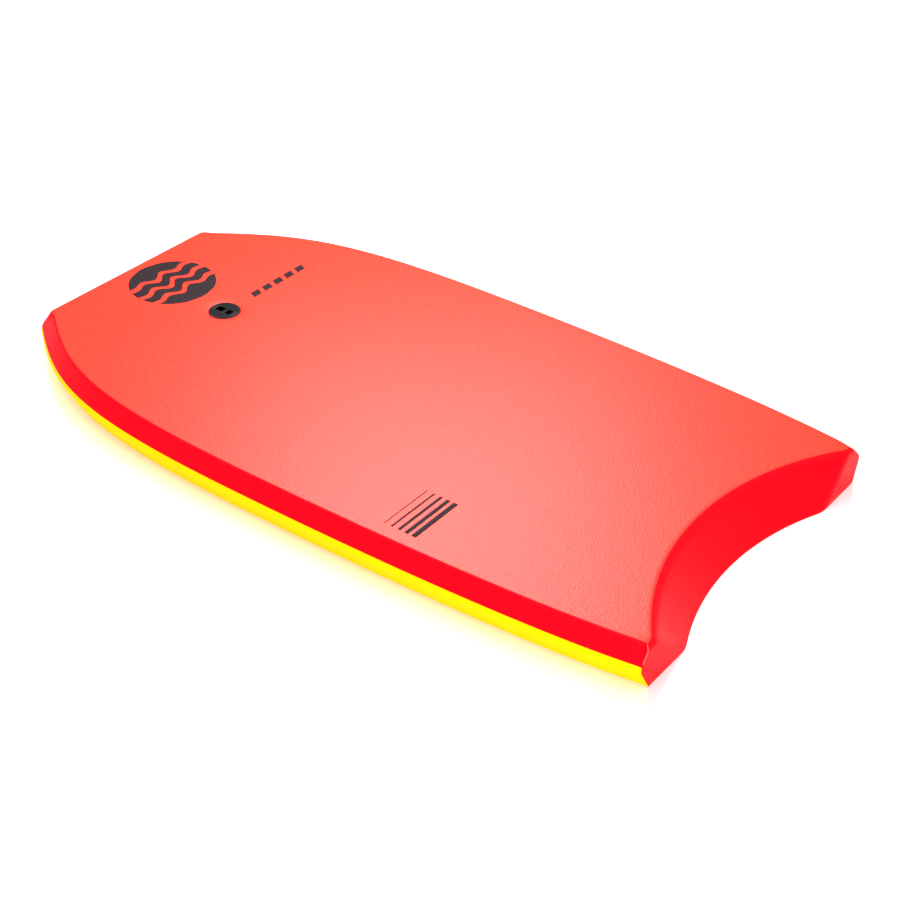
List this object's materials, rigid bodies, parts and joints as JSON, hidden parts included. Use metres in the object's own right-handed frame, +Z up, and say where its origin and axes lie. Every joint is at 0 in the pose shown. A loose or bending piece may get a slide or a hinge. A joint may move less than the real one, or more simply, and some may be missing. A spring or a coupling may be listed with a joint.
{
  "type": "bodyboard",
  "caption": "Foam bodyboard with a crescent tail, bevelled rails, a hard bottom sheet and a screwed leash plug near the nose, for riding waves lying down.",
  "frame": {"origin": "bottom centre of the bounding box: mid-length and mid-width of the board, on the floor under its slick", "axes": "+Y from the tail to the nose, +X to the rider's right, +Z up through the deck"},
  "size_m": [0.554, 1.016, 0.054],
  "materials": {
    "deck_foam": "fine-grained soft foam sheet, satin",
    "chine_foam": "smooth closed-cell foam, satin",
    "rail_foam": "smooth closed-cell foam, satin",
    "core_foam": "white expanded foam",
    "slick_plastic": "smooth glossy sheet",
    "plug_plastic": "black moulded plastic, satin"
  },
  "bodies": {
    "root": {"foam_core": "core_foam", "deck_skin": "deck_foam", "slick_backing": "core_foam", "bottom_slick": "slick_plastic", "left_chine_strip": "chine_foam", "right_chine_strip": "chine_foam", "nose_chine_strip": "chine_foam", "left_rail_strip": "rail_foam", "right_rail_strip": "rail_foam", "nose_rail_strip": "rail_foam", "tail_strip": "chine_foam", "leash_plug_top": "plug_plastic", "leash_plug_bottom": "plug_plastic"}
  },
  "joints": []
}
